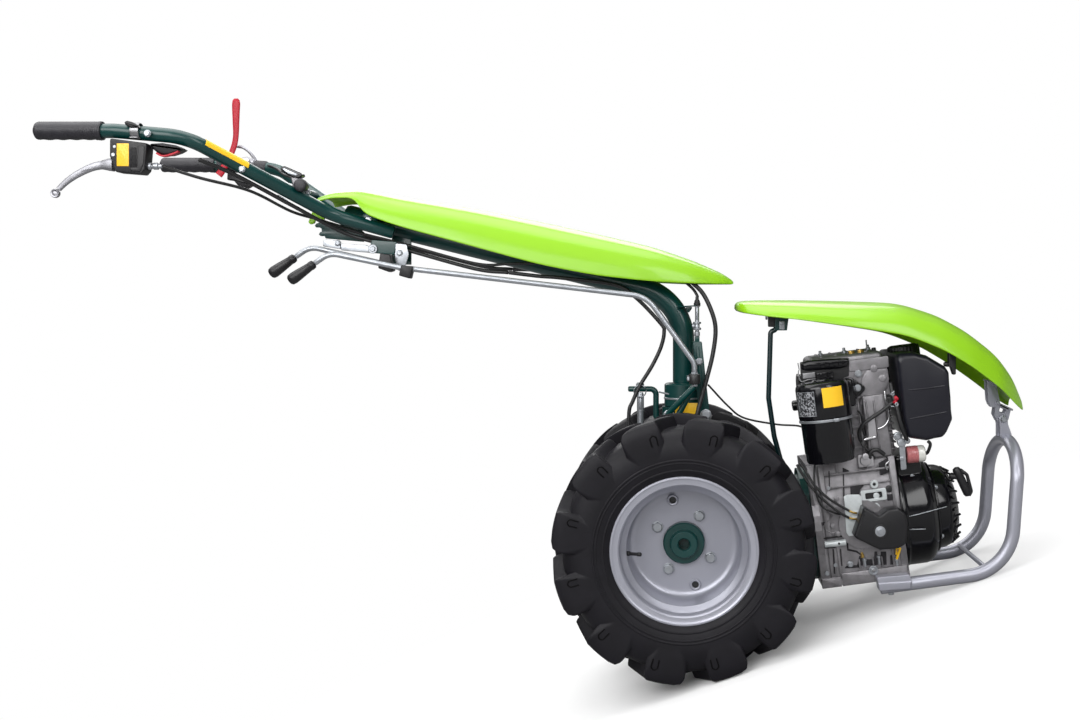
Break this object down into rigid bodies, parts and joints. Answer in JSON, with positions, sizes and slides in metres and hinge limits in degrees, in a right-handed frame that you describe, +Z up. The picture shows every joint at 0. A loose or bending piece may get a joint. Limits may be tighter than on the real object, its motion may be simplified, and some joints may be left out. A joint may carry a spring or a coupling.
{
  "type": "walking tractor",
  "caption": "Two-wheeled walking tractor with an open diesel engine under a hinged hood, a tubular front guard, a swinging handlebar column, gear rods and handlebars with levers.",
  "frame": {"origin": "centre of the bounding box's footprint, on the floor", "axes": "+X to the engine and front guard, +Y to the machine's left, +Z up"},
  "size_m": [1.6516, 0.636, 1.5061],
  "materials": {
    "tyre_rubber": "matte",
    "silver_paint": "satin",
    "dark_green_paint": "satin",
    "lime_paint": "satin",
    "cast_aluminium": "satin",
    "black_plastic": "satin",
    "black_enamel": "gloss",
    "zinc_plate": "satin",
    "chrome": "polished",
    "red_plastic": "satin",
    "filter_plastic": "satin",
    "black_rubber": "satin",
    "brass": "satin",
    "yellow_label": "satin"
  },
  "bodies": {
    "chassis": {"gearbox_housing": "dark_green_paint", "pto_shaft": "zinc_plate", "bell_housing": "dark_green_paint", "steering_turret": "dark_green_paint", "engine_crankcase": "cast_aluminium", "engine_cylinder": "cast_aluminium", "rocker_cover": "cast_aluminium", "fan_cowl": "black_enamel", "recoil_starter": "black_enamel", "starter_handle": "black_plastic", "air_filter": "black_enamel", "fuel_tank": "black_plastic", "fuel_cap": "black_plastic", "fuel_filter": "filter_plastic", "side_cover": "black_plastic", "muffler": "black_enamel", "front_guard": "silver_paint", "guard_cradle": "silver_paint", "guard_bracket": "zinc_plate", "hood_prop": "dark_green_paint", "clutch_arm": "dark_green_paint", "selector_speed": "dark_green_paint", "selector_range": "dark_green_paint", "lock_bracket": "dark_green_paint", "lock_rod": "zinc_plate", "brake_cable_foot": "black_rubber", "throttle_cable_foot": "black_rubber", "engine_cable": "black_rubber"},
    "wheel_left": {"tyre_left": "tyre_rubber", "rim_left": "silver_paint", "hub_left": "dark_green_paint"},
    "wheel_right": {"tyre_right": "tyre_rubber", "rim_right": "silver_paint", "hub_right": "dark_green_paint"},
    "hood": {"hood": "lime_paint", "hood_hinge": "zinc_plate", "hood_latch": "black_plastic"},
    "column": {"column_arm": "dark_green_paint", "column_cover": "lime_paint", "height_sector": "dark_green_paint", "gear_rod_speed": "zinc_plate", "gear_knob_speed": "black_plastic", "gear_rod_range": "zinc_plate", "gear_knob_range": "black_plastic", "rod_guide": "dark_green_paint", "clutch_link": "zinc_plate", "clutch_cable": "black_rubber", "brake_cable": "black_rubber", "throttle_cable": "black_rubber"},
    "handlebars": {"handlebar": "dark_green_paint", "grip_left": "black_plastic", "grip_right": "black_plastic", "switch_box": "black_plastic", "clutch_lever": "chrome", "throttle_lever": "black_plastic", "reverse_lever": "red_plastic", "brake_lever": "chrome", "diff_lock_knob": "black_plastic"}
  },
  "joints": [
    {"name": "wheel_left_spin", "type": "hinge", "parent": "chassis", "child": "wheel_left", "pos_m": [0.07981, 0.165, 0.25744], "axis": [0, 1, 0], "continuous": true},
    {"name": "wheel_right_spin", "type": "hinge", "parent": "chassis", "child": "wheel_right", "pos_m": [0.07981, -0.165, 0.25744], "axis": [0, 1, 0], "continuous": true},
    {"name": "hood_hinge_turn", "type": "hinge", "parent": "chassis", "child": "hood", "pos_m": [0.78186, 0, 0.27383], "axis": [0, 1, 0], "range_deg": [0, 60]},
    {"name": "column_swing", "type": "hinge", "parent": "chassis", "child": "column", "pos_m": [0.07981, 0, 0.25744], "axis": [0.314, 0, 0.9494], "range_deg": [-20, 20], "deforming": ["clutch_cable", "brake_cable_foot", "throttle_cable_foot"]},
    {"name": "handlebar_height", "type": "hinge", "parent": "column", "child": "handlebars", "pos_m": [-0.32561, 0, 1.06983], "axis": [0, 1, 0], "range_deg": [-16, 7], "deforming": ["clutch_cable", "brake_cable", "throttle_cable"]}
  ]
}
